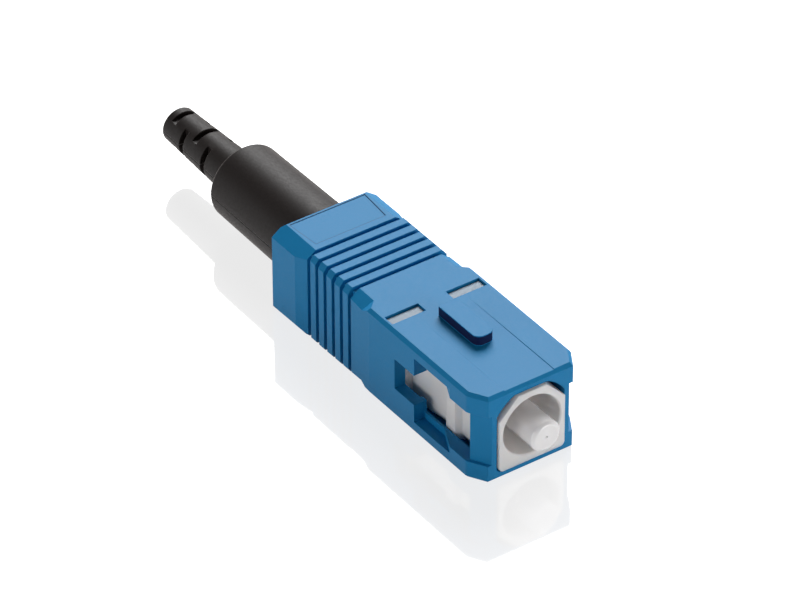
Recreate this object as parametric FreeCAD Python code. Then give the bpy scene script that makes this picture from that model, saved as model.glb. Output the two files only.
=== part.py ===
import FreeCAD, Part

import math
import os

# SC push-pull fibre plug, millimetres. The long axis runs along Y: the mating end is at the low end,
# the boot's tail at the high end. Z is up, the key is on top. Sections are drawn with y = 0 at the
# grip's front face and z = 0 under the grip; the last step moves everything to the middle of its length.

# Fits between pieces
slide_gap = 0.08
bore_gap = 0.05
pocket_gap = 0.15
cutter_overrun = 2.0

# Grip: outline seen from above
grip_length = 25.53
grip_height = 7.4
nose_width = 7.3
nose_length = 1.45
body_width = 9.0
body_end = 13.35
waist_front_inset = 0.17
waist_front = 15.87
waist_rear_inset = 0.25
waist_rear = 21.47
flare_end = 22.6
tail_outset = 0.08

# Grip: edges and corner reliefs
nose_corner_radius = 0.55
top_bevel = 0.25
bottom_bevel = 0.14
relief_front = 14.5
relief_side_inset = 0.05
relief_front_inset = 0.93
relief_rear_inset = 1.12
relief_drop = 0.75
relief_slope = 0.73
foot_relief_front_inset = 0.42
foot_relief_rear_inset = 0.32
foot_relief_drop = 0.45
foot_relief_slope = 1.35
run_out_facing = (0.47, 0.51, 0.84)

# Grip: ribs round the waist
groove_count = 6
groove_pitch = 1.045
groove_width = 0.38
groove_side_depth = 0.38
groove_top_depth = 0.3
land_corner_width = 0.4
land_corner_drop = 0.5

# Grip: key, shallow steps on the top
key_width = 1.64
key_front = 5.35
key_rear = 10.0
key_height = 0.8
key_corner_radius = 0.6
strip_width = 4.3
strip_rear = 10.8
step_depth = 0.04
panel_front = 22.1
panel_rear = 25.1
panel_front_width = 6.1
panel_rear_width = 6.6

# Grip: cavity and front opening
ring_length = 2.5
opening_corner_radius = 3.4
opening_foot_radius = 0.3
cavity_step = 8.3
boot_relief_front = 21.65

# Grip: side windows with the release bars
window_front = 1.45
window_rear = 10.2
window_rear_height = 2.6
window_mid = 7.8
window_mid_height = 5.64
window_fore = 3.45
window_fore_low = 1.45
window_fore_high = 5.75
bar_thickness = 0.2
bar_ramp_start = 5.3
post_recess = 0.32

# Grip: slots in the top and bottom that show the lugs
lug_slot_inner = 1.2
lug_slot_outer = 4.1
lug_slot_front = 11.0
lug_slot_length = 1.0

# Plug frame
frame_proud = 0.2
frame_width = 5.66
frame_height = 6.04
frame_corner_width = 1.6
frame_corner_drop = 1.64
frame_foot_radius = 0.4
frame_step = 10.3
frame_rear_width = 7.0
frame_rear = 17.2
frame_rear_corner = 0.3
bore_radius = 2.45
bore_rim = 0.1
bore_floor = 5.4
chamber_radius = 2.4

# Plug frame: side catches and lugs
catch_rise = 0.42
catch_front = 4.56
catch_length = 1.09
catch_ramp = 0.31
catch_low = 0.9
catch_high = 5.0
undercut_depth = 0.4
undercut_front = 1.0
undercut_level = 1.3
undercut_peak = 1.55
undercut_rear = 8.9
lug_rise = 0.5
lug_depth = 0.87
lug_flat = 0.8
lug_ramp = 0.12
lug_ramp_drop = 0.3

# Ferrule and its flange
ferrule_radius = 1.2495
ferrule_length = 10.5
ferrule_stand_out = 1.95
ferrule_tip_chamfer = 0.25
ferrule_tip_run = 0.22
ferrule_seat_radius = 1.05
ferrule_hole_radius = 0.063
ferrule_funnel_radius = 0.45
ferrule_funnel_length = 0.7
neck_wall = 0.5
neck_length = 1.45
seat_thickness = 1.0
collar_radius = 2.3
collar_length = 2.0
collar_slot_width = 0.8
collar_slot_depth = 0.25
collar_slot_count = 4
key_rib_count = 2
stem_radius = 1.45
stem_length = 6.75
tube_radius = 0.5
tube_wall = 0.2
tube_stand_out = 1.0

# Spring
wire_diameter = 0.4
spring_radius = 2.05
spring_open_turns = 4
spring_close_turns = 0.8
spring_steps = 16
wire_sides = 8

# Stop ring
stop_tube_radius = 2.35
stop_tube_front = 13.6
stop_tube_bore = 1.75
snap_front = 14.6
snap_length = 0.6
snap_rise = 0.12
shoulder_radius = 2.9
shoulder_length = 1.4
barrel_radius = 2.0
barrel_length = 6.0
barrel_bore = 1.35
knurl_pitch = 1.5
knurl_depth = 0.1
knurl_width = 0.4

# Crimp sleeve
sleeve_wall = 0.35
sleeve_setback = 0.3
sleeve_large_length = 6.0
sleeve_taper_length = 1.0
sleeve_small_length = 4.0
sleeve_small_bore = 0.8
sleeve_small_wall = 0.3

# Boot
boot_front = 22.9
boot_radius = 3.2
boot_straight_end = 27.0
boot_rim = 35.95
boot_rim_radius = 3.1
boot_rim_rounding = 0.3
tail_front = 36.3
tail_front_radius = 1.77
tail_rear = 44.9
tail_rear_radius = 1.455
tail_bore = 0.6
tail_edge = 0.12

# Boot: saw cuts across the tail, as pairs from above and below and pairs from the sides
flex_slot_width = 0.56
flex_slot_pitch = 3.0
flex_slot_pairs = 2
upright_slot_rearmost = 43.87
upright_slot_floor = 1.05
side_slot_rearmost = 42.2
side_slot_floor = 0.85

# Grip travel and ferrule float, used where a pocket has to let them move
grip_travel = 1.2
ferrule_float = 1.5

axis_z = grip_height / 2
waist_front_width = body_width - 2 * waist_front_inset
waist_rear_width = body_width - 2 * waist_rear_inset
tail_width = body_width + 2 * tail_outset
frame_front = -frame_proud
cavity_half_height = frame_height / 2 + slide_gap
cavity_rear_half_width = frame_rear_width / 2 + slide_gap
cavity_front_half_width = frame_width / 2 + catch_rise + pocket_gap
opening_half_width = frame_width / 2 + slide_gap
lug_slot_rear = lug_slot_front + lug_slot_length
lug_rear = lug_slot_rear - slide_gap
lug_front = lug_rear - lug_flat - lug_ramp
lug_top = frame_height / 2 + lug_rise
tip_y = -ferrule_stand_out
ferrule_rear = tip_y + ferrule_length
seat_rear = bore_floor + seat_thickness
collar_front = seat_rear + bore_gap
collar_rear = collar_front + collar_length
neck_radius = ferrule_seat_radius + neck_wall
neck_front = collar_front - neck_length
stem_rear = collar_rear + stem_length
shoulder_rear = frame_rear + shoulder_length
barrel_rear = shoulder_rear + barrel_length
sleeve_front = shoulder_rear + sleeve_setback
sleeve_bore = barrel_radius + bore_gap
sleeve_radius = sleeve_bore + sleeve_wall
sleeve_large_rear = sleeve_front + sleeve_large_length
sleeve_small_front = sleeve_large_rear + sleeve_taper_length
sleeve_rear = sleeve_small_front + sleeve_small_length
sleeve_small_radius = sleeve_small_bore + sleeve_small_wall


def box(x0, x1, y0, y1, z0, z1):
    """Block between two corners."""
    return Part.makeBox(x1 - x0, y1 - y0, z1 - z0, FreeCAD.Vector(x0, y0, z0))


def rod(radius, y0, y1):
    """Round bar on the long axis."""
    start = FreeCAD.Vector(0, y0, axis_z)
    return Part.makeCylinder(radius, y1 - y0, start, FreeCAD.Vector(0, 1, 0))


def polygon_prism(points, sweep):
    """Solid swept from a closed polygon of vectors."""
    wire = Part.makePolygon(points + points[:1])
    return Part.Face(wire).extrude(sweep)


def plan_prism(outline, z0, z1):
    """Outline of (x, y) points, swept upwards."""
    points = [FreeCAD.Vector(x, y, z0) for x, y in outline]
    return polygon_prism(points, FreeCAD.Vector(0, 0, z1 - z0))


def section_prism(outline, y0, y1):
    """Cross-section of (x, z) points, swept along the plug."""
    points = [FreeCAD.Vector(x, y0, z) for x, z in outline]
    return polygon_prism(points, FreeCAD.Vector(0, y1 - y0, 0))


def side_prism(outline, x0, x1):
    """Side view of (y, z) points, swept across the plug."""
    points = [FreeCAD.Vector(x0, y, z) for y, z in outline]
    return polygon_prism(points, FreeCAD.Vector(x1 - x0, 0, 0))


def turned(profile):
    """Solid of revolution about the long axis, from (y, radius) points."""
    points = [FreeCAD.Vector(radius, y, axis_z) for y, radius in profile]
    face = Part.Face(Part.makePolygon(points + points[:1]))
    return face.revolve(FreeCAD.Vector(0, 0, axis_z), FreeCAD.Vector(0, 1, 0), 360)


def flip_x(shape):
    """Mirror image across the plug's middle plane."""
    return shape.mirror(FreeCAD.Vector(0, 0, 0), FreeCAD.Vector(1, 0, 0))


def flip_z(shape):
    """Mirror image from top to bottom about the long axis."""
    return shape.mirror(FreeCAD.Vector(0, 0, axis_z), FreeCAD.Vector(0, 0, 1))


def both_sides(shape):
    """A shape and its mirror image on the other side."""
    return [shape, flip_x(shape)]


def all_corners(shape):
    """A shape repeated at the four corners of the section."""
    return both_sides(shape) + both_sides(flip_z(shape))


def octagon(half_width, half_height, top, bottom):
    """Section about the axis with its top and bottom corners cut off by (width, drop) pairs."""
    top_w, top_d = top
    low_w, low_d = bottom
    right = [
        (half_width - low_w, axis_z - half_height),
        (half_width, axis_z - half_height + low_d),
        (half_width, axis_z + half_height - top_d),
        (half_width - top_w, axis_z + half_height),
    ]
    right = [p for n, p in enumerate(right) if n == 0 or p != right[n - 1]]
    return right + [(-x, z) for x, z in reversed(right)]


def edges_at(shape, test):
    """Edges whose every end point passes a test."""
    return [e for e in shape.Edges if all(test(v.Point) for v in e.Vertexes)]


def grip_outline():
    """Grip seen from above, from the nose to the tail."""
    right = [
        (nose_width / 2, 0.0),
        (body_width / 2, nose_length),
        (body_width / 2, body_end),
        (waist_front_width / 2, waist_front),
        (waist_rear_width / 2, waist_rear),
        (tail_width / 2, flare_end),
        (tail_width / 2, grip_length),
    ]
    return right + [(-x, y) for x, y in reversed(right)]


def space_beyond(point, facing):
    """Block that fills the room on the outer side of a plane."""
    reach = grip_length
    block = Part.makeBox(2 * reach, 2 * reach, reach, FreeCAD.Vector(-reach, -reach, 0))
    block.Placement = FreeCAD.Placement(point, FreeCAD.Rotation(FreeCAD.Vector(0, 0, 1), facing))
    return block


def corner_relief(front_inset, rear_inset, drop, slope):
    """Cutter that slopes one top corner of the grip off and runs out forwards in a slanted facet."""
    front = FreeCAD.Vector(body_width / 2 - front_inset, body_end, grip_height)
    rear = FreeCAD.Vector(tail_width / 2 - rear_inset, grip_length, grip_height)
    across = FreeCAD.Vector(1, 0, -slope)
    foot = FreeCAD.Vector(body_width / 2 - relief_side_inset, relief_front, grip_height - drop)
    sloped_off = space_beyond(front, across.cross(rear - front))
    return sloped_off.common(space_beyond(foot, FreeCAD.Vector(*run_out_facing)))


def groove_centres():
    """Stations of the grooves, from the rear of the waist forwards."""
    rearmost = waist_rear - groove_width / 2
    return [rearmost - groove_pitch * k for k in range(groove_count)]


def grip_lands():
    """Ribs between the grooves, square-shouldered where the body around them is sloped off."""
    centres = groove_centres()
    corner = (land_corner_width, land_corner_drop)
    section = octagon(waist_front_width / 2, grip_height / 2, corner, corner)
    band = section_prism(section, centres[-1], centres[0])
    return band.common(plan_prism(grip_outline(), 0, grip_height))


def groove_cutters():
    """Slabs that leave only the core of the waist standing between the ribs."""
    core_x = waist_rear_width / 2 - groove_side_depth
    core = box(-core_x, core_x, 0, grip_length, groove_top_depth, grip_height - groove_top_depth)
    cutters = []
    for y in groove_centres():
        slab = box(-body_width, body_width, y - groove_width / 2, y + groove_width / 2,
                   -cutter_overrun, grip_height + cutter_overrun)
        cutters.append(slab.cut(core))
    return cutters


def grip_key():
    """Polarity key on the top, round at its front corners."""
    half = key_width / 2
    block = box(-half, half, key_front, key_rear, grip_height - 2 * step_depth, grip_height + key_height)
    front_edges = edges_at(block, lambda p: p.y < key_front + 0.01)
    upright = [e for e in front_edges
               if abs(e.Vertexes[0].Point.z - e.Vertexes[-1].Point.z) > key_height / 2]
    return block.makeFillet(key_corner_radius, upright)


def grip_cavity():
    """Room for the frame, and for the boot at the rear."""
    height = cavity_half_height
    opening = box(-opening_half_width, opening_half_width, -cutter_overrun, ring_length,
                  axis_z - height, axis_z + height)
    foot = edges_at(opening, lambda p: p.z < axis_z - height + 0.01)
    along = [e for e in foot if abs(e.Vertexes[0].Point.y - e.Vertexes[-1].Point.y) > ring_length]
    opening = opening.makeFillet(opening_foot_radius, along)
    below_axis = box(-opening_half_width, opening_half_width, -cutter_overrun, ring_length, 0.0, axis_z)
    round_top = rod(opening_corner_radius, -cutter_overrun, ring_length)
    opening = opening.common(round_top.fuse(below_axis))
    front = box(-cavity_front_half_width, cavity_front_half_width, ring_length, cavity_step,
                axis_z - height, axis_z + height)
    rear = box(-cavity_rear_half_width, cavity_rear_half_width, cavity_step, grip_length + cutter_overrun,
               axis_z - height, axis_z + height)
    round_part = rod(boot_radius + slide_gap, boot_relief_front, grip_length + cutter_overrun)
    return [opening, front, rear, round_part]


def side_window():
    """Stepped opening in one side wall, with the release bars left above and below it."""
    wall_in = cavity_front_half_width - pocket_gap
    wall_out = body_width / 2 + cutter_overrun
    post_face = body_width / 2 - post_recess
    bar_face = cavity_front_half_width + bar_thickness

    around_bars = plan_prism(
        [
            (bar_face, window_mid),
            (bar_face, bar_ramp_start),
            (body_width / 2, window_fore),
            (wall_out, window_fore),
            (wall_out, window_mid),
        ],
        axis_z - window_mid_height / 2, axis_z + window_mid_height / 2)
    rear = box(wall_in, wall_out, window_mid, window_rear,
               axis_z - window_rear_height / 2, axis_z + window_rear_height / 2)
    fore = plan_prism(
        [
            (wall_in, window_mid),
            (wall_in, ring_length),
            (post_face, window_front),
            (wall_out, window_front),
            (wall_out, window_mid),
        ],
        window_fore_low, window_fore_high)
    return [rear, fore, around_bars]


def post_cutter():
    """Sets one front post back from the nose, level with the window behind it."""
    outline = [
        (nose_width / 2 - post_recess, -cutter_overrun),
        (nose_width / 2 - post_recess, 0.0),
        (body_width / 2 - post_recess, nose_length),
        (body_width / 2 + cutter_overrun, nose_length),
        (body_width / 2 + cutter_overrun, -cutter_overrun),
    ]
    return plan_prism(outline, window_fore_low, window_fore_high)


def lug_slot():
    """Slot for one lug in the top, and the pocket ahead of it that lets the grip slide back."""
    floor = axis_z + lug_top - lug_depth - slide_gap
    slot = box(lug_slot_inner, lug_slot_outer, lug_slot_front, lug_slot_rear,
               floor, grip_height + cutter_overrun)
    pocket_front = lug_front - grip_travel - slide_gap
    pocket = box(lug_slot_inner, lug_slot_outer, pocket_front, lug_slot_front,
                 floor, axis_z + lug_top + slide_gap / 2)
    return slot.fuse(pocket)


def top_steps():
    """Shallow recesses in the top face: the strip under the key, which runs out rearwards, and the panel."""
    floor = grip_height - step_depth
    above = grip_height + cutter_overrun
    strip = side_prism([(0.0, above), (0.0, floor), (strip_rear, grip_height), (strip_rear, above)],
                       -strip_width / 2, strip_width / 2)
    panel = plan_prism(
        [
            (panel_front_width / 2, panel_front),
            (panel_rear_width / 2, panel_rear),
            (-panel_rear_width / 2, panel_rear),
            (-panel_front_width / 2, panel_front),
        ],
        floor, above)
    return [strip, panel]


def make_grip():
    """Push-pull grip, one moulding."""
    body = plan_prism(grip_outline(), 0, grip_height)
    nose_corners = [e for e in body.Edges
                    if all(abs(v.Point.y - nose_length) < 0.01 for v in e.Vertexes)]
    body = body.makeFillet(nose_corner_radius, nose_corners)
    top = edges_at(body, lambda p: p.z > grip_height - 0.01)
    body = body.makeChamfer(top_bevel, top)
    low = edges_at(body, lambda p: p.z < 0.01)
    body = body.makeChamfer(bottom_bevel, low)
    upper = corner_relief(relief_front_inset, relief_rear_inset, relief_drop, relief_slope)
    lower = flip_z(corner_relief(foot_relief_front_inset, foot_relief_rear_inset,
                                 foot_relief_drop, foot_relief_slope))
    body = body.cut(both_sides(upper) + both_sides(lower)).fuse(grip_lands())
    body = body.cut(groove_cutters() + top_steps()).fuse(grip_key())
    openings = grip_cavity() + all_corners(lug_slot())
    for cutter in side_window() + [post_cutter()]:
        openings += both_sides(cutter)
    return body.cut(openings).removeSplitter()


def side_catch():
    """Catch on one side of the frame, steep at the front."""
    base = frame_width / 2 - pocket_gap
    face = frame_width / 2
    tip = face + catch_rise
    outline = [
        (base, catch_front - catch_ramp),
        (face, catch_front - catch_ramp),
        (tip, catch_front),
        (tip, catch_front + catch_length),
        (base, catch_front + catch_length),
    ]
    return plan_prism(outline, catch_low, catch_high)


def side_undercut():
    """Sets back the foot of one side of the frame, ahead of the catch and, on a slope, behind it."""
    low = axis_z - frame_height / 2 - cutter_overrun
    catch_rear = catch_front + catch_length
    ahead = [
        (undercut_front, low),
        (undercut_front, undercut_level),
        (catch_front - catch_ramp, undercut_level),
        (catch_front - catch_ramp, low),
    ]
    behind = [
        (catch_rear, low),
        (catch_rear, undercut_peak),
        (undercut_rear, axis_z - frame_height / 2),
        (undercut_rear, low),
    ]
    inner = frame_width / 2 - undercut_depth
    outer = frame_width / 2 + cutter_overrun
    return [side_prism(ahead, inner, outer), side_prism(behind, inner, outer)]


def frame_lug():
    """Lug on the frame's top that shows through one slot of the grip."""
    top = axis_z + lug_top
    outline = [
        (lug_front, top - lug_depth),
        (lug_front, top - lug_ramp_drop),
        (lug_front + lug_ramp, top),
        (lug_rear, top),
        (lug_rear, top - lug_depth),
    ]
    return side_prism(outline, lug_slot_inner, lug_slot_outer - slide_gap)


def make_frame():
    """Plug frame, one moulding."""
    front = section_prism(
        octagon(frame_width / 2, frame_height / 2, (frame_corner_width, frame_corner_drop), (0.0, 0.0)),
        frame_front, frame_step)
    low = edges_at(front, lambda p: p.z < axis_z - frame_height / 2 + 0.01)
    along = [e for e in low if abs(e.Vertexes[0].Point.y - e.Vertexes[-1].Point.y) > 1]
    front = front.makeFillet(frame_foot_radius, along)
    corner = (frame_rear_corner, frame_rear_corner)
    rear = section_prism(octagon(frame_rear_width / 2, frame_height / 2, corner, corner),
                         frame_step, frame_rear)
    for cutter in side_undercut():
        front = front.cut(both_sides(cutter))
    body = front.fuse([rear] + both_sides(side_catch()) + all_corners(frame_lug()))
    rim = turned([
        (frame_front, 0.0), (frame_front, bore_radius + bore_rim), (frame_front + bore_rim, bore_radius),
        (frame_front + bore_rim, 0.0),
    ])
    body = body.cut([
        rod(bore_radius, frame_front, bore_floor),
        rim,
        rod(neck_radius + bore_gap, bore_floor, seat_rear),
        rod(chamber_radius, seat_rear, frame_rear),
        rod(stop_tube_radius + snap_rise + bore_gap,
            snap_front - bore_gap, snap_front + snap_length + bore_gap),
    ])
    key_in = collar_radius - collar_slot_depth + bore_gap * 2
    key_half = collar_slot_width / 2 - bore_gap
    wall = chamber_radius + pocket_gap
    keys = []
    for n in range(key_rib_count):
        rib = box(key_in, wall, seat_rear, collar_rear + ferrule_float,
                  axis_z - key_half, axis_z + key_half)
        rib.rotate(FreeCAD.Vector(0, 0, axis_z), FreeCAD.Vector(0, 1, 0), n * 360 / key_rib_count)
        keys.append(rib)
    return body.fuse(keys).removeSplitter()


def make_ferrule():
    """Ceramic ferrule with its fibre hole, funnel-shaped at the rear."""
    body = turned([
        (tip_y, ferrule_hole_radius),
        (tip_y, ferrule_radius - ferrule_tip_chamfer),
        (tip_y + ferrule_tip_run, ferrule_radius),
        (neck_front, ferrule_radius),
        (neck_front, ferrule_seat_radius),
        (ferrule_rear, ferrule_seat_radius),
        (ferrule_rear, ferrule_funnel_radius),
        (ferrule_rear - ferrule_funnel_length, ferrule_hole_radius),
    ])
    return body


def make_flange():
    """Metal flange: neck round the ferrule, slotted collar, stem through the spring."""
    body = turned([
        (neck_front, ferrule_seat_radius),
        (neck_front, neck_radius),
        (collar_front, neck_radius),
        (collar_front, collar_radius),
        (collar_rear, collar_radius),
        (collar_rear, stem_radius),
        (stem_rear, stem_radius),
        (stem_rear, tube_radius),
        (ferrule_rear, tube_radius),
        (ferrule_rear, ferrule_seat_radius),
    ])
    slots = []
    for n in range(collar_slot_count):
        slot = box(collar_radius - collar_slot_depth, collar_radius + cutter_overrun,
                   collar_front - cutter_overrun, collar_rear + cutter_overrun,
                   axis_z - collar_slot_width / 2, axis_z + collar_slot_width / 2)
        slot.rotate(FreeCAD.Vector(0, 0, axis_z), FreeCAD.Vector(0, 1, 0), n * 360 / collar_slot_count)
        slots.append(slot)
    return body.cut(slots)


def make_tube():
    """Lead-in tube for the fibre."""
    inner = tube_radius - tube_wall
    return rod(tube_radius, ferrule_rear, stem_rear + tube_stand_out).cut(
        rod(inner, ferrule_rear, stem_rear + tube_stand_out))


def wire_section(turn):
    """Cross-section of the spring's wire after some turns: close coils at both ends, open ones between."""
    radius = spring_radius - wire_diameter / 2
    length = stop_tube_front - collar_rear - wire_diameter
    close_rise = wire_diameter + bore_gap
    open_rise = (length - 2 * spring_close_turns * close_rise) / spring_open_turns
    opened = min(max(turn - spring_close_turns, 0.0), spring_open_turns)
    y = collar_rear + wire_diameter / 2 + (turn - opened) * close_rise + opened * open_rise
    angle = 2 * math.pi * turn
    points = []
    for n in range(wire_sides + 1):
        tilt = 2 * math.pi * n / wire_sides
        out = radius + wire_diameter / 2 * math.cos(tilt)
        points.append(FreeCAD.Vector(out * math.cos(angle), y + wire_diameter / 2 * math.sin(tilt),
                                     axis_z + out * math.sin(angle)))
    return Part.makePolygon(points)


def make_spring():
    """Compression spring round the stem, between the collar and the stop ring."""
    turns = 2 * spring_close_turns + spring_open_turns
    steps = round(turns * spring_steps)
    return Part.makeLoft([wire_section(turns * k / steps) for k in range(steps + 1)], True, True)


def make_stop_ring():
    """Metal back body: tube that snaps into the frame, shoulder, knurled crimp barrel."""
    body = turned([
        (stop_tube_front, stop_tube_bore),
        (stop_tube_front, stop_tube_radius),
        (snap_front, stop_tube_radius),
        (snap_front + snap_length, stop_tube_radius + snap_rise),
        (snap_front + snap_length, stop_tube_radius),
        (frame_rear, stop_tube_radius),
        (frame_rear, shoulder_radius),
        (shoulder_rear, shoulder_radius),
        (shoulder_rear, barrel_radius),
        (barrel_rear, barrel_radius),
        (barrel_rear, barrel_bore),
        (frame_rear, barrel_bore),
        (frame_rear, stop_tube_bore),
    ])
    grooves = []
    count = int(barrel_length / knurl_pitch) - 1
    for k in range(count):
        y = shoulder_rear + knurl_pitch * (k + 1)
        outer = rod(barrel_radius + cutter_overrun, y - knurl_width / 2, y + knurl_width / 2)
        grooves.append(outer.cut(rod(barrel_radius - knurl_depth, y - knurl_width / 2, y + knurl_width / 2)))
    return body.cut(grooves)


def make_sleeve():
    """Crimp sleeve, large over the barrel and small over the cable's jacket."""
    return turned([
        (sleeve_front, sleeve_bore),
        (sleeve_front, sleeve_radius),
        (sleeve_large_rear, sleeve_radius),
        (sleeve_small_front, sleeve_small_radius),
        (sleeve_rear, sleeve_small_radius),
        (sleeve_rear, sleeve_small_bore),
        (sleeve_small_front, sleeve_small_bore),
        (sleeve_large_rear, sleeve_bore),
    ])


def flex_cutters(rearmost, floor, turn):
    """Pairs of saw cuts across the tail, one pair a station, turned by an angle about the axis."""
    cutters = []
    for n in range(flex_slot_pairs):
        y = rearmost - n * flex_slot_pitch
        for side in (0, 180):
            cut = box(-boot_radius, boot_radius, y - flex_slot_width / 2, y + flex_slot_width / 2,
                      axis_z + floor, axis_z + boot_radius)
            cut.rotate(FreeCAD.Vector(0, 0, axis_z), FreeCAD.Vector(0, 1, 0), side + turn)
            cutters.append(cut)
    return cutters


def rounded_outline(points, corner, rounding):
    """Closed wire through points, with an arc in place of one of its corners."""
    tip = points[corner]
    back = (points[corner - 1] - tip).normalize()
    ahead = (points[corner + 1] - tip).normalize()
    half_angle = back.getAngle(ahead) / 2
    setback = rounding / math.tan(half_angle)
    crown = tip + (back + ahead).normalize() * (rounding / math.sin(half_angle) - rounding)
    start = tip + back * setback
    end = tip + ahead * setback
    around = [end] + points[corner + 1:] + points[:corner] + [start]
    sides = [Part.makeLine(a, b) for a, b in zip(around, around[1:])]
    return Part.Wire(sides + [Part.Arc(start, crown, end).toShape()])


def make_boot():
    """Bend-relief boot, one moulding."""
    bore = sleeve_radius + bore_gap
    small_bore = sleeve_small_radius + bore_gap
    outline = [
        (boot_front, bore),
        (boot_front, boot_radius),
        (boot_straight_end, boot_radius),
        (boot_rim, boot_rim_radius),
        (tail_front, tail_front_radius),
        (tail_rear - tail_edge, tail_rear_radius),
        (tail_rear, tail_rear_radius - tail_edge),
        (tail_rear, tail_bore),
        (sleeve_rear + 2 * slide_gap + small_bore - tail_bore, tail_bore),
        (sleeve_rear + 2 * slide_gap, small_bore),
        (sleeve_small_front + slide_gap, small_bore),
        (sleeve_large_rear + slide_gap, bore),
    ]
    points = [FreeCAD.Vector(radius, y, axis_z) for y, radius in outline]
    rim = outline.index((boot_rim, boot_rim_radius))
    face = Part.Face(rounded_outline(points, rim, boot_rim_rounding))
    body = face.revolve(FreeCAD.Vector(0, 0, axis_z), FreeCAD.Vector(0, 1, 0), 360)
    upright = flex_cutters(upright_slot_rearmost, upright_slot_floor, 0)
    sideways = flex_cutters(side_slot_rearmost, side_slot_floor, 90)
    return body.cut(upright + sideways)


def main():
    """Build every piece, move it to the middle of the plug's length and write it."""
    os.makedirs("parts", exist_ok=True)
    pieces = {
        "grip_housing": make_grip(),
        "plug_frame": make_frame(),
        "ferrule": make_ferrule(),
        "ferrule_flange": make_flange(),
        "guide_tube": make_tube(),
        "spring": make_spring(),
        "stop_ring": make_stop_ring(),
        "crimp_sleeve": make_sleeve(),
        "boot": make_boot(),
    }
    middle = (tip_y + tail_rear) / 2
    for name, shape in pieces.items():
        shape.translate(FreeCAD.Vector(0, -middle, 0))
        shape.exportStep("parts/" + name + ".step")


main()
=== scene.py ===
"""Looks of the SC push-pull fibre plug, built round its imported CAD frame. Values whose name
ends in _mm are millimetres, and everything that reaches Blender is metres in the CAD frame."""

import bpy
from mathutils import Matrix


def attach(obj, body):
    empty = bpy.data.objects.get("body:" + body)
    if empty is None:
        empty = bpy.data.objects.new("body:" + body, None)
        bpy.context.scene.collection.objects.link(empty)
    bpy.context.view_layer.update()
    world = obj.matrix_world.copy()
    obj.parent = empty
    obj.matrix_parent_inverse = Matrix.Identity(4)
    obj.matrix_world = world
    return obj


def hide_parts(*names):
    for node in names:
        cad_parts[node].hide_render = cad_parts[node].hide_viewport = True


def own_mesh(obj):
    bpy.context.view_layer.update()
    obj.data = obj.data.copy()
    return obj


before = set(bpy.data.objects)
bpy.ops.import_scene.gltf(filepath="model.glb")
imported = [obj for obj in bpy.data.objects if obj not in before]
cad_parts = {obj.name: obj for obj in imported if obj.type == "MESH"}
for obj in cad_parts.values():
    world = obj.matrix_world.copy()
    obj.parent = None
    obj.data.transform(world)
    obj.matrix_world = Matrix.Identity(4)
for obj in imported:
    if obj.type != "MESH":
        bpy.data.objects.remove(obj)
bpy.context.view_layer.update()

import logging
import math
from dataclasses import dataclass, field
from enum import Enum
from typing import Any

import bmesh
import bpy
from mathutils import Matrix, Vector

log = logging.getLogger("plug")

Socket = bpy.types.NodeSocket

MM = 0.001
AXIS_Z_MM = 3.7  # the ferrule's axis
SPRING_FRONT_MM = -13.025  # the collar's rear face
SPRING_REAR_MM = -7.875  # the stop ring's front face
WHITE = (1.0, 1.0, 1.0, 1.0)
NOISE_RANGE = (0.3, 0.7)  # nearly all values of a noise texture lie in here
EDGE_SAMPLES = 8


class Sheen(Enum):
    """How a moulded surface's skin came out of its tool."""

    SATIN = 0.36
    EGGSHELL = 0.5


class Metal(Enum):
    """sRGB colours of the bare metals inside the plug."""

    NICKEL = "#C6BFB2"
    SPRING_STEEL = "#A9A8A6"


def linear(hex_colour: str) -> tuple[float, float, float, float]:
    """Turn an sRGB hex colour into linear RGBA.

    Args:
        hex_colour: Six hex digits after a hash sign.

    Returns:
        Red, green and blue in linear light, and an alpha of 1.
    """
    channels = []
    for start in (1, 3, 5):
        value = int(hex_colour[start:start + 2], 16) / 255
        channels.append(value / 12.92 if value <= 0.04045 else ((value + 0.055) / 1.055) ** 2.4)
    return (channels[0], channels[1], channels[2], 1.0)


def add_node(tree: bpy.types.NodeTree, kind: str, inputs: dict[str | int, Any] | None = None,
             **settings: Any) -> bpy.types.Node:
    """Add a node, set its properties, then set or link its inputs.

    Args:
        tree: Node tree that gets the node.
        kind: Blender's type name of the node.
        inputs: Value, or output socket to link, for each input's name or number.
        **settings: Properties of the node itself.

    Returns:
        The new node.
    """
    node = tree.nodes.new(kind)
    for name, value in settings.items():
        setattr(node, name, value)
    for name, value in (inputs or {}).items():
        if isinstance(value, Socket):
            tree.links.new(value, node.inputs[name])
        else:
            node.inputs[name].default_value = value
    return node


def per_metre(size_mm: float) -> float:
    """Texture scale at which one feature is so many millimetres wide."""
    return 1 / (size_mm * MM)


def empty_tree(owner: bpy.types.Material | bpy.types.World) -> bpy.types.NodeTree:
    """Give a material or world an empty node tree and return it."""
    owner.use_nodes = True
    owner.node_tree.nodes.clear()
    return owner.node_tree


def noise(tree: bpy.types.NodeTree, place: Socket, width_mm: float, detail: float,
          roughness: float = 0.5) -> Socket:
    """Add a noise texture.

    Args:
        tree: Node tree that gets it.
        place: Coordinates, in metres.
        width_mm: Width of its largest features.
        detail: Number of octaves of finer features.
        roughness: Strength of each octave beside the one before.

    Returns:
        The noise's value.
    """
    return add_node(tree, "ShaderNodeTexNoise", {
        "Vector": place, "Scale": per_metre(width_mm), "Detail": detail,
        "Roughness": roughness}).outputs["Fac"]


def stretch(tree: bpy.types.NodeTree, place: Socket, scale: tuple[float, float, float]) -> Socket:
    """Scale coordinates along each axis. A small scale draws a texture out along its axis."""
    return add_node(tree, "ShaderNodeMapping", {"Vector": place, "Scale": scale}).outputs["Vector"]


def height_of(tree: bpy.types.NodeTree, place: Socket) -> Socket:
    """Return the Z of coordinates."""
    return add_node(tree, "ShaderNodeSeparateXYZ", {"Vector": place}).outputs["Z"]


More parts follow.
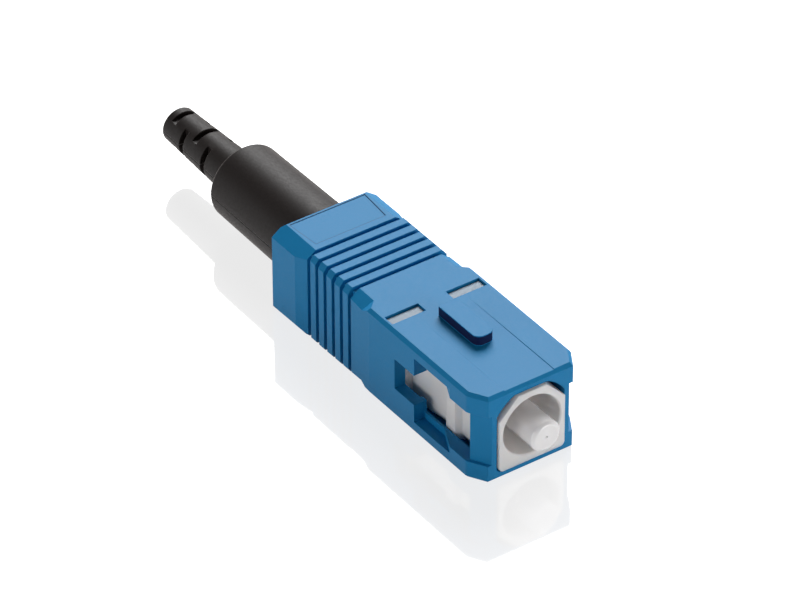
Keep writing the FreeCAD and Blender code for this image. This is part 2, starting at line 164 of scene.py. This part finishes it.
def calculate(tree: bpy.types.NodeTree, operation: str, *terms: Socket | float) -> Socket:
    """Add a Math node on sockets or numbers and return its result."""
    return add_node(tree, "ShaderNodeMath", dict(enumerate(terms)), operation=operation).outputs[0]


def remap(tree: bpy.types.NodeTree, value: Socket, target: tuple[float, float],
          source: tuple[float, float] = (0.0, 1.0), **settings: Any) -> Socket:
    """Map a value from one range to another, and hold it within the second.

    Args:
        tree: Node tree that gets the node.
        value: Value to map.
        target: What the ends of the source range become.
        source: Range that the value comes from.
        **settings: Properties of the node itself.

    Returns:
        The mapped value.
    """
    return add_node(tree, "ShaderNodeMapRange", {
        "Value": value, "From Min": source[0], "From Max": source[1],
        "To Min": target[0], "To Max": target[1]}, **settings).outputs["Result"]


def blend(tree: bpy.types.NodeTree, share: Socket, colour: Socket | str, other: str) -> Socket:
    """Mix two colours, each a socket or an sRGB hex colour. The share is the second one's."""
    first = linear(colour) if isinstance(colour, str) else colour
    return add_node(tree, "ShaderNodeMix", {0: share, 6: first, 7: linear(other)},
                    data_type="RGBA").outputs[2]


def around(middle: float, spread: tuple[float, float]) -> tuple[float, float]:
    """Return the ends of a range, given how far below (negative) and above its middle they lie."""
    return (middle + spread[0], middle + spread[1])


def raise_skin(tree: bpy.types.NodeTree, relief: Socket, depth_mm: float, normal: Socket | None = None,
               **settings: Any) -> Socket:
    """Turn a relief's value into a normal.

    Args:
        tree: Node tree that gets the node.
        relief: Height, from 0 to 1.
        depth_mm: Height at 1.
        normal: Normal that the relief stands on, or None for the surface's own.
        **settings: Properties of the node itself.

    Returns:
        The normal.
    """
    inputs = {"Height": relief, "Distance": depth_mm * MM, "Strength": 1.0}
    if normal is not None:
        inputs["Normal"] = normal
    return add_node(tree, "ShaderNodeBump", inputs, **settings).outputs["Normal"]


def rounded_edges(tree: bpy.types.NodeTree, radius_mm: float) -> Socket:
    """Return a normal that rounds the shading at sharp edges, so that they catch a thin light."""
    return add_node(tree, "ShaderNodeBevel", {"Radius": radius_mm * MM},
                    samples=EDGE_SAMPLES).outputs["Normal"]


def mirrored_rays(tree: bpy.types.NodeTree, path: bpy.types.Node) -> Socket:
    """Return 1 for rays that were mirrored or let through by a surface, and 0 for all others."""
    return calculate(tree, "MAXIMUM", path.outputs["Is Glossy Ray"], path.outputs["Is Transmission Ray"])


def direction(azimuth_deg: float, elevation_deg: float) -> Vector:
    """Return the unit vector towards an azimuth, counted from the front to the right, and a height."""
    a, e = math.radians(azimuth_deg), math.radians(elevation_deg)
    return Vector((math.sin(a) * math.cos(e), -math.cos(a) * math.cos(e), math.sin(e)))


@dataclass(frozen=True)
class Finish:
    """A surface: its material's name, its slot's name, which is not used here, and its colour."""

    name: str
    slot: str
    colour: str

    def material(self) -> bpy.types.Material:
        """Return the finish's material, made on first use."""
        found = bpy.data.materials.get(self.name)
        if found is None:
            found = bpy.data.materials.new(self.name)
            self.build(empty_tree(found))
        return found

    def build(self, tree: bpy.types.NodeTree) -> None:
        """Fill the material's empty node tree."""
        raise NotImplementedError

    def place(self, tree: bpy.types.NodeTree) -> Socket:
        """Return the object's own coordinates, in metres."""
        return add_node(tree, "ShaderNodeTexCoord").outputs["Object"]

    def end(self, tree: bpy.types.NodeTree, inputs: dict[str, Any]) -> None:
        """Add the principled shader with these inputs and link it to the material's output."""
        shader = add_node(tree, "ShaderNodeBsdfPrincipled", inputs)
        add_node(tree, "ShaderNodeOutputMaterial", {"Surface": shader.outputs["BSDF"]})


@dataclass(frozen=True)
class Panel:
    """Outline of a shallow panel on the grip's top, evenly wider from front to rear, along which a thin line
    of painted shade is drawn.
    """

    front_half_mm: float
    rear_half_mm: float
    front_y_mm: float
    rear_y_mm: float
    above_z_mm: float
    line_core_mm: float = 0.02
    line_fade_mm: float = 0.06
    strength: float = 0.55

    def outline(self, tree: bpy.types.NodeTree, place: Socket) -> Socket:
        """Return the strength of the painted shade line, by how far a point on the top face is from the
        outline.

        Args:
            tree: Node tree that gets the nodes.
            place: Coordinates, in metres.

        Returns:
            The line's strength, 0 away from it.
        """
        axes = add_node(tree, "ShaderNodeSeparateXYZ", {"Vector": place})
        taper = (self.rear_half_mm - self.front_half_mm) / (self.rear_y_mm - self.front_y_mm)
        spread = calculate(tree, "MULTIPLY_ADD", axes.outputs["Y"], taper,
                           (self.front_half_mm - taper * self.front_y_mm) * MM)
        beside = calculate(tree, "SUBTRACT", calculate(tree, "ABSOLUTE", axes.outputs["X"]), spread)
        from_middle = calculate(tree, "SUBTRACT", axes.outputs["Y"],
                                (self.front_y_mm + self.rear_y_mm) / 2 * MM)
        beyond = calculate(tree, "SUBTRACT", calculate(tree, "ABSOLUTE", from_middle),
                           (self.rear_y_mm - self.front_y_mm) / 2 * MM)
        distance = calculate(tree, "ABSOLUTE", calculate(tree, "MAXIMUM", beside, beyond))
        line = remap(tree, distance, (self.strength, 0.0), (self.line_core_mm * MM, self.line_fade_mm * MM))
        on_top = calculate(tree, "GREATER_THAN", axes.outputs["Z"], self.above_z_mm * MM)
        return calculate(tree, "MULTIPLY", line, on_top)


@dataclass(frozen=True)
class MouldedPlastic(Finish):
    """Injection-moulded engineering plastic, out of a finely spark-eroded tool."""

    streak_colour: str
    sheen: Sheen
    # painted shade: the tone, heights and fade of a darker band, also used for a panel's line
    painted_shade_colour: str
    painted_shade_mm: tuple[float, float]
    painted_shade_fade_mm: float = 0.04
    glow: float = 0.0
    glow_mm: float = 0.9
    glow_tint: tuple[float, float, float] = (1.0, 0.85, 0.75)
    ior: float = 1.55
    specular: float = 0.2
    flow_mm: float = 3.2
    flow_stretch: tuple[float, float, float] = (1.0, 0.35, 1.0)
    grain_mm: float = 0.16
    grain_height_mm: float = 0.0015
    gloss_spread: tuple[float, float] = (-0.04, 0.06)
    edge_mm: float = 0.05
    panel: Panel | None = None

    def build(self, tree: bpy.types.NodeTree) -> None:
        """Dress the plastic. Flow streaks shift the colour softly, and the tool's grain breaks up the gloss.
        Between two heights the skin gets a painted shade: on the grip it darkens the steep walls of the key,
        and on the frame it greys the tops of the lugs.
        A panel gets a fine dark line of painted shade along the shallow step round it. The real grain is
        about 0.03 mm across, too fine to show, so it is drawn five times as coarse."""
        place = self.place(tree)
        flow = noise(tree, stretch(tree, place, self.flow_stretch), self.flow_mm, detail=3.0)
        grain = noise(tree, place, self.grain_mm, detail=4.0, roughness=0.6)
        colour = blend(tree, flow, self.colour, self.streak_colour)
        # Painted shade between two heights.
        low, high = self.painted_shade_mm
        from_middle = calculate(tree, "SUBTRACT", height_of(tree, place), (low + high) / 2 * MM)
        painted_shade = remap(tree, calculate(tree, "ABSOLUTE", from_middle), (1.0, 0.0),
                     (((high - low) / 2 - self.painted_shade_fade_mm) * MM, (high - low) / 2 * MM))
        colour = blend(tree, painted_shade, colour, self.painted_shade_colour)
        # Painted shade along the panel's outline.
        if self.panel is not None:
            colour = blend(tree, self.panel.outline(tree, place), colour, self.painted_shade_colour)
        gloss = remap(tree, grain, around(self.sheen.value, self.gloss_spread), NOISE_RANGE)
        normal = raise_skin(tree, grain, self.grain_height_mm, rounded_edges(tree, self.edge_mm))
        self.end(tree, {
            "Base Color": colour, "Roughness": gloss, "IOR": self.ior, "Specular IOR Level": self.specular,
            "Normal": normal, "Subsurface Weight": self.glow, "Subsurface Radius": self.glow_tint,
            "Subsurface Scale": self.glow_mm * MM})


@dataclass(frozen=True)
class GroundCeramic(Finish):
    """Zirconia, sintered and then ground round and polished."""

    cloud_colour: str = "#F4F0F0"
    cloud_mm: float = 1.1
    glow: float = 0.4
    glow_mm: float = 0.3
    glow_tint: tuple[float, float, float] = (1.0, 0.95, 0.9)
    roughness: float = 0.12
    gloss_spread: tuple[float, float] = (-0.04, 0.08)
    ior: float = 2.15
    specular: float = 0.5
    line_mm: float = 0.12
    line_stretch: tuple[float, float, float] = (0.02, 1.0, 0.02)
    line_height_mm: float = 0.0004

    def build(self, tree: bpy.types.NodeTree) -> None:
        """Dress the ceramic. A dense white body glows a little, and centreless grinding leaves faint rings
        round it that stretch its bright highlight."""
        place = self.place(tree)
        rings = noise(tree, stretch(tree, place, self.line_stretch), self.line_mm, detail=2.0)
        cloud = noise(tree, place, self.cloud_mm, detail=2.0)
        self.end(tree, {
            "Base Color": blend(tree, cloud, self.colour, self.cloud_colour),
            "Roughness": remap(tree, rings, around(self.roughness, self.gloss_spread)),
            "IOR": self.ior, "Specular IOR Level": self.specular,
            "Normal": raise_skin(tree, rings, self.line_height_mm),
            "Subsurface Weight": self.glow, "Subsurface Radius": self.glow_tint,
            "Subsurface Scale": self.glow_mm * MM})


@dataclass(frozen=True)
class TurnedMetal(Finish):
    """Brass turned on a lathe and nickel plated."""

    patch_colour: str = "#DAD4C9"
    patch_mm: float = 0.9
    roughness: float = 0.24
    gloss_spread: tuple[float, float] = (-0.05, 0.1)
    line_mm: float = 0.09
    line_stretch: tuple[float, float, float] = (0.03, 1.0, 0.03)
    line_height_mm: float = 0.001

    def build(self, tree: bpy.types.NodeTree) -> None:
        """Dress the metal. The tool's feed leaves rings round the axis, and the plating dulls in patches."""
        place = self.place(tree)
        rings = noise(tree, stretch(tree, place, self.line_stretch), self.line_mm, detail=3.0)
        patch = noise(tree, place, self.patch_mm, detail=3.0)
        self.end(tree, {
            "Base Color": blend(tree, patch, self.colour, self.patch_colour), "Metallic": 1.0,
            "Roughness": remap(tree, patch, around(self.roughness, self.gloss_spread), NOISE_RANGE),
            "Normal": raise_skin(tree, rings, self.line_height_mm)})


@dataclass(frozen=True)
class DrawnWire(Finish):
    """Spring steel, drawn through a die and coiled."""

    film_colour: str = "#8B8987"
    film_mm: float = 1.4
    roughness: float = 0.3
    gloss_spread: tuple[float, float] = (-0.08, 0.1)
    die_mm: float = 0.05

    def build(self, tree: bpy.types.NodeTree) -> None:
        """Dress the wire. Die marks scatter its highlight, and it is a little darker where it was oiled."""
        place = self.place(tree)
        marks = noise(tree, place, self.die_mm, detail=3.0)
        film = noise(tree, place, self.film_mm, detail=2.0)
        self.end(tree, {
            "Base Color": blend(tree, film, self.colour, self.film_colour), "Metallic": 1.0,
            "Roughness": remap(tree, marks, around(self.roughness, self.gloss_spread))})


@dataclass(frozen=True)
class ExtrudedTube(Finish):
    """PTFE tube, extruded."""

    streak_colour: str = "#D9DAD6"
    streak_mm: float = 0.15
    streak_stretch: tuple[float, float, float] = (1.0, 0.05, 1.0)
    glow: float = 0.4
    glow_mm: float = 0.2
    glow_tint: tuple[float, float, float] = (1.0, 1.0, 1.0)
    roughness: float = 0.4
    ior: float = 1.35

    def build(self, tree: bpy.types.NodeTree) -> None:
        """Dress the tube. PTFE is waxy and milky, with streaks along its length."""
        place = self.place(tree)
        streaks = noise(tree, stretch(tree, place, self.streak_stretch), self.streak_mm, detail=2.0)
        self.end(tree, {
            "Base Color": blend(tree, streaks, self.colour, self.streak_colour),
            "Roughness": self.roughness, "IOR": self.ior, "Subsurface Weight": self.glow,
            "Subsurface Radius": self.glow_tint, "Subsurface Scale": self.glow_mm * MM})


@dataclass(frozen=True)
class MouldedRubber(Finish):
    """Thermoplastic rubber, moulded in a split tool."""

    sheen: Sheen
    gloss_spread: tuple[float, float] = (-0.05, 0.08)
    bloom_colour: str = "#170F0D"
    bloom_mm: float = 5.0
    ior: float = 1.5
    specular: float = 0.26
    dust: float = 0.3
    dust_colour: str = "#FFEAE2"
    dust_roughness: float = 0.3
    grain_mm: float = 0.2
    grain_height_mm: float = 0.003
    seam_colour: str = "#030202"
    seam_half_width_mm: float = 0.075
    seam_depth_mm: float = 0.05
    edge_mm: float = 0.07

    def build(self, tree: bpy.types.NodeTree) -> None:
        """Dress the rubber. Its skin is dull and slightly uneven, a dusty bloom lightens it where it turns
        away, and the tool's halves left a fine dark line along both sides, level with the axis. The grain is
        drawn about twice its real width."""
        place = self.place(tree)
        grain = noise(tree, place, self.grain_mm, detail=4.0, roughness=0.55)
        bloom = noise(tree, place, self.bloom_mm, detail=3.0)
        off_seam = calculate(tree, "SUBTRACT", height_of(tree, place), AXIS_Z_MM * MM)
        seam = remap(tree, calculate(tree, "ABSOLUTE", off_seam), (1.0, 0.0),
                     (0.0, self.seam_half_width_mm * MM), interpolation_type="SMOOTHSTEP")
        colour = blend(tree, seam, blend(tree, bloom, self.colour, self.bloom_colour), self.seam_colour)
        gloss = remap(tree, grain, around(self.sheen.value, self.gloss_spread), NOISE_RANGE)
        skin = raise_skin(tree, grain, self.grain_height_mm, rounded_edges(tree, self.edge_mm))
        normal = raise_skin(tree, seam, self.seam_depth_mm, skin, invert=True)
        self.end(tree, {
            "Base Color": colour, "Roughness": gloss, "IOR": self.ior, "Specular IOR Level": self.specular,
            "Normal": normal, "Sheen Weight": self.dust, "Sheen Roughness": self.dust_roughness,
            "Sheen Tint": linear(self.dust_colour)})


@dataclass(frozen=True)
class EdgeBreak:
    """The small radius that a tool or a tumbling drum leaves on every sharp edge."""

    width_mm: float
    segments: int = 2
    sharp_deg: float = 28.0
    flat_deg: float = 0.8
    weld_mm: float = 0.0005

    def soften(self, piece: bpy.types.Object) -> None:
        """Round a piece's edges with modifiers that leave its own mesh alone.

        Args:
            piece: Mesh object to soften.
        """
        weld = piece.modifiers.new("weld", "WELD")
        weld.merge_threshold = self.weld_mm * MM
        merge = piece.modifiers.new("flats", "DECIMATE")
        merge.decimate_type = "DISSOLVE"
        merge.angle_limit = math.radians(self.flat_deg)
        bevel = piece.modifiers.new("edges", "BEVEL")
        bevel.width = self.width_mm * MM
        bevel.segments = self.segments
        bevel.limit_method = "ANGLE"
        bevel.angle_limit = math.radians(self.sharp_deg)
        bevel.use_clamp_overlap = False
        bevel.miter_outer = "MITER_ARC"
        piece.modifiers.new("shading", "WEIGHTED_NORMAL")


PLATED_BRASS = TurnedMetal("Nickel-plated brass, turned", "nickel", Metal.NICKEL.value)
METAL_EDGES = EdgeBreak(width_mm=0.03)


def dress(node: str, finish: Finish, edges: EdgeBreak | None = None) -> None:
    """Give a CAD node its finish and its edges.

    Args:
        node: Name of the CAD node.
        finish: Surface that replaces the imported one.
        edges: Edge rounding, or None for a node that needs none.
    """
    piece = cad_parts[node]
    piece.data.materials.clear()
    piece.data.materials.append(finish.material())
    if edges is not None:
        edges.soften(piece)
    log.info("dressed %s in %s", node, finish.name)


@dataclass
class Grip:
    """The blue push-pull grip, one moulding."""

    node: str = "grip_housing"
    # The dark navy between 7.41 and 8.15 mm is painted shade on the key's walls, and along the panel's
    # outline.
    finish: MouldedPlastic = MouldedPlastic(
        "Blue PBT, injection moulded", "blue_plastic", "#1483BC", streak_colour="#117EB5",
        sheen=Sheen.EGGSHELL, painted_shade_colour="#121B45", painted_shade_mm=(7.41, 8.15), specular=0.18,
        panel=Panel(front_half_mm=3.05, rear_half_mm=3.3, front_y_mm=0.625, rear_y_mm=3.625,
                    above_z_mm=7.3))

    def build(self) -> None:
        """Dress the moulding."""
        dress(self.node, self.finish)


@dataclass
class PlugFrame:
    """The white inner frame that holds the ferrule and carries the catches."""

    node: str = "plug_frame"
    # The blue-grey between 7.0 and 9.0 mm is painted shade on the tops of the lugs.
    finish: MouldedPlastic = MouldedPlastic(
        "White PBT, injection moulded", "white_plastic", "#F7F3F1", streak_colour="#F2EEEC",
        sheen=Sheen.SATIN, painted_shade_colour="#6C8599", painted_shade_mm=(7.0, 9.0), glow=0.6, specular=0.25,
        edge_mm=0.1)

    def build(self) -> None:
        """Dress the moulding."""
        dress(self.node, self.finish)


@dataclass
class FerruleUnit:
    """The ferrule in its metal flange, with the fibre's lead-in tube."""

    ceramic: GroundCeramic = GroundCeramic("Zirconia, ground and polished", "zirconia", "#FBF8F8")
    metal: TurnedMetal = PLATED_BRASS
    tube: ExtrudedTube = ExtrudedTube("PTFE, extruded", "tube_plastic", "#E9EAE6")
    ferrule_edges: EdgeBreak = EdgeBreak(width_mm=0.06, segments=3)
    metal_edges: EdgeBreak = METAL_EDGES

    def build(self) -> None:
        """Dress the three pieces."""
        dress("ferrule", self.ceramic, self.ferrule_edges)
        dress("ferrule_flange", self.metal, self.metal_edges)
        dress("guide_tube", self.tube)


@dataclass
class FerruleSpring:
    """The round-wire spring behind the ferrule, in place of its eight-sided solid."""

    radius_mm: float = 1.85
    wire_mm: float = 0.4
    open_turns: float = 4.0
    close_turns: float = 0.8
    coil_gap_mm: float = 0.05
    steps_per_turn: int = 40
    wire_sides: int = 14
    travel_mm: float = 1.5
    finish: DrawnWire = DrawnWire("Spring steel, drawn", "spring_steel", Metal.SPRING_STEEL.value)

    def centre_line(self) -> list[Vector]:
        """Return the wire's centre, from the collar to the stop ring, in millimetres."""
        turns = self.open_turns + 2 * self.close_turns
        close_rise = self.wire_mm + self.coil_gap_mm
        run = SPRING_REAR_MM - SPRING_FRONT_MM - self.wire_mm
        open_rise = (run - 2 * self.close_turns * close_rise) / self.open_turns
        steps = round(turns * self.steps_per_turn)
        points = []
        for step in range(steps + 1):
            turn = turns * step / steps
            opened = min(max(turn - self.close_turns, 0.0), self.open_turns)
            y = SPRING_FRONT_MM + self.wire_mm / 2 + (turn - opened) * close_rise + opened * open_rise
            angle = math.tau * turn
            points.append(Vector((self.radius_mm * math.cos(angle), y,
                                  AXIS_Z_MM + self.radius_mm * math.sin(angle))))
        return points

    def wire(self) -> bpy.types.Mesh:
        """Sweep a round section along the centre line.

        Returns:
            The wire's mesh, in metres, closed at both ends.
        """
        bm = bmesh.new()
        rings = []
        for point in self.centre_line():
            outward = Vector((point.x, 0.0, point.z - AXIS_Z_MM)).normalized()
            ring = []
            for side in range(self.wire_sides):
                tilt = math.tau * side / self.wire_sides
                offset = outward * math.cos(tilt) + Vector((0.0, 1.0, 0.0)) * math.sin(tilt)
                ring.append(bm.verts.new((point + offset * self.wire_mm / 2) * MM))
            rings.append(ring)
        for low, high in zip(rings, rings[1:]):
            for side in range(self.wire_sides):
                after = (side + 1) % self.wire_sides
                bm.faces.new((low[side], low[after], high[after], high[side])).smooth = True
        bm.faces.new(rings[0])
        bm.faces.new(rings[-1])
        bmesh.ops.recalc_face_normals(bm, faces=bm.faces)
        mesh = bpy.data.meshes.new("spring_wire")
        bm.to_mesh(mesh)
        bm.free()
        return mesh

    def build(self) -> None:
        """Make the wire, hang it on the core, and hide the CAD spring."""
        piece = bpy.data.objects.new("spring_wire", self.wire())
        bpy.context.scene.collection.objects.link(piece)
        piece.data.materials.append(self.finish.material())
        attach(piece, "core")
        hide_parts("spring")
        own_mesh(piece)
        log.info("made spring_wire in %s", self.finish.name)


@dataclass
class RearBody:
    """The metal stop ring and the crimp sleeve on its barrel."""

    metal: TurnedMetal = PLATED_BRASS
    edges: EdgeBreak = METAL_EDGES

    def build(self) -> None:
        """Dress both pieces."""
        for node in ("stop_ring", "crimp_sleeve"):
            dress(node, self.metal, self.edges)


@dataclass
class Boot:
    """The black bend-relief boot, one moulding."""

    node: str = "boot"
    finish: MouldedRubber = MouldedRubber(
        "Black thermoplastic rubber, moulded", "black_rubber", "#120B09", sheen=Sheen.EGGSHELL)

    def build(self) -> None:
        """Dress the moulding."""
        dress(self.node, self.finish)


@dataclass(frozen=True)
class Lamp:
    """A soft box, by its direction from the plug."""

    name: str
    azimuth_deg: float
    elevation_deg: float
    level: float
    size_m: float
    distance_m: float = 0.5

    def build(self, target: Vector) -> None:
        """Hang the lamp and point it at the plug. Level 1 is the light under which a square-on matt
        surface renders as its colour is written.

        Args:
            target: Point that it lights.
        """
        back = direction(self.azimuth_deg, self.elevation_deg)
        data = bpy.data.lights.new(self.name, "AREA")
        data.shape = "SQUARE"
        data.size = self.size_m
        data.energy = self.level * (math.pi * self.distance_m) ** 2
        lamp = bpy.data.objects.new(self.name, data)
        bpy.context.scene.collection.objects.link(lamp)
        lamp.location = target + back * self.distance_m
        lamp.rotation_mode = "QUATERNION"
        lamp.rotation_quaternion = back.to_track_quat("Z", "Y")


@dataclass
class Studio:
    """Pale floor, soft light and the photograph's camera."""

    target_mm: tuple[float, float, float] = (0.847, -4.318, 3.7)
    azimuth_deg: float = -34.874
    elevation_deg: float = 36.555
    roll_deg: float = -0.224
    distance_mm: float = 441.03
    lens_mm: float = 275.85
    sensor_mm: float = 36.0
    clip_m: tuple[float, float] = (0.01, 20.0)
    floor_colour: str = "#F4F4F5"
    floor_roughness: float = 0.5
    floor_specular: float = 0.2
    floor_size_m: float = 3.0
    floor_drop_mm: float = 0.01
    floor_white_share: float = 0.8
    floor_mirror_share: float = 0.5
    floor_mirror_roughness: float = 0.05
    ambient: float = 0.07
    ceiling: float = 0.1
    sweep_top: tuple[float, float] = (0.15, 0.4)
    lamps: list[Lamp] = field(default_factory=lambda: [
        Lamp("key_lamp", 136.0, 42.0, 1.26, 0.32),
        Lamp("front_lamp", 22.0, 6.0, 0.52, 0.3),
        Lamp("side_lamp", -90.0, 5.0, 0.4, 0.35),
    ])

    def camera(self) -> None:
        """Set the camera where the photograph was taken from."""
        azimuth, roll = math.radians(self.azimuth_deg), math.radians(self.roll_deg)
        back = direction(self.azimuth_deg, self.elevation_deg)
        level = Vector((math.cos(azimuth), math.sin(azimuth), 0.0))
        upright = back.cross(level)
        right = level * math.cos(roll) + upright * math.sin(roll)
        up = upright * math.cos(roll) - level * math.sin(roll)
        place = (Vector(self.target_mm) + back * self.distance_mm) * MM
        data = bpy.data.cameras.new("camera")
        data.lens = self.lens_mm
        data.sensor_width = self.sensor_mm
        data.clip_start, data.clip_end = self.clip_m
        camera = bpy.data.objects.new("camera", data)
        bpy.context.scene.collection.objects.link(camera)
        turn = Matrix((right, up, back)).transposed().to_4x4()
        camera.matrix_world = Matrix.Translation(place) @ turn
        bpy.context.scene.camera = camera

    def floor(self) -> None:
        """Lay a white coated floor. It reads as plain white, and keeps a faint mirror image and shadow of
        the plug, as in the photograph."""
        half = self.floor_size_m / 2
        z = -self.floor_drop_mm * MM
        mesh = bpy.data.meshes.new("floor")
        mesh.from_pydata([(-half, -half, z), (half, -half, z), (half, half, z), (-half, half, z)], [],
                         [(0, 1, 2, 3)])
        floor = bpy.data.objects.new("floor", mesh)
        bpy.context.scene.collection.objects.link(floor)
        material = bpy.data.materials.new("White paper, coated")
        tree = empty_tree(material)
        paper = add_node(tree, "ShaderNodeBsdfPrincipled", {
            "Base Color": linear(self.floor_colour), "Roughness": self.floor_roughness,
            "Specular IOR Level": self.floor_specular})
        coat = add_node(tree, "ShaderNodeBsdfGlossy", {
            "Color": WHITE, "Roughness": self.floor_mirror_roughness})
        glow = add_node(tree, "ShaderNodeEmission", {"Color": WHITE, "Strength": 1.0})
        path = add_node(tree, "ShaderNodeLightPath")
        camera = path.outputs["Is Camera Ray"]
        coated = add_node(tree, "ShaderNodeMixShader", {
            0: calculate(tree, "MULTIPLY", camera, self.floor_mirror_share),
            1: paper.outputs["BSDF"], 2: coat.outputs["BSDF"]})
        white = calculate(tree, "MULTIPLY", camera, self.floor_white_share)
        surface = add_node(tree, "ShaderNodeMixShader", {
            0: calculate(tree, "MAXIMUM", white, mirrored_rays(tree, path)),
            1: coated.outputs["Shader"], 2: glow.outputs["Emission"]})
        add_node(tree, "ShaderNodeOutputMaterial", {"Surface": surface.outputs["Shader"]})
        mesh.materials.append(material)

    def world(self) -> None:
        """Surround the plug with even light, and show white where the background itself is seen. Mirrored
        rays meet that white up to the top of the backdrop's sweep, and the room's dark ceiling above it."""
        world = bpy.data.worlds.new("room")
        tree = empty_tree(world)
        path = add_node(tree, "ShaderNodeLightPath")
        height = height_of(tree, add_node(tree, "ShaderNodeTexCoord").outputs["Generated"])
        sweep = remap(tree, height, (1.0, self.ceiling), self.sweep_top)
        seen = calculate(tree, "MAXIMUM", path.outputs["Is Camera Ray"],
                         calculate(tree, "MULTIPLY", mirrored_rays(tree, path), sweep))
        room = add_node(tree, "ShaderNodeBackground", {"Color": WHITE, "Strength": self.ambient})
        backdrop = add_node(tree, "ShaderNodeBackground", {"Color": WHITE, "Strength": 1.0})
        mix = add_node(tree, "ShaderNodeMixShader", {
            0: seen, 1: room.outputs["Background"], 2: backdrop.outputs["Background"]})
        add_node(tree, "ShaderNodeOutputWorld", {"Surface": mix.outputs["Shader"]})
        bpy.context.scene.world = world

    def build(self) -> None:
        """Set up floor, world, lamps and camera."""
        self.floor()
        self.world()
        for lamp in self.lamps:
            lamp.build(Vector(self.target_mm) * MM)
        self.camera()
        bpy.context.scene.view_settings.view_transform = "Standard"
        log.info("studio set, %d lamps", len(self.lamps))


def main() -> None:
    """Dress the plug and set the studio."""
    logging.basicConfig(level=logging.INFO, format="%(name)s: %(message)s")
    for part in (Grip(), PlugFrame(), FerruleUnit(), FerruleSpring(), RearBody(), Boot(), Studio()):
        part.build()


if __name__ == "__main__":
    main()
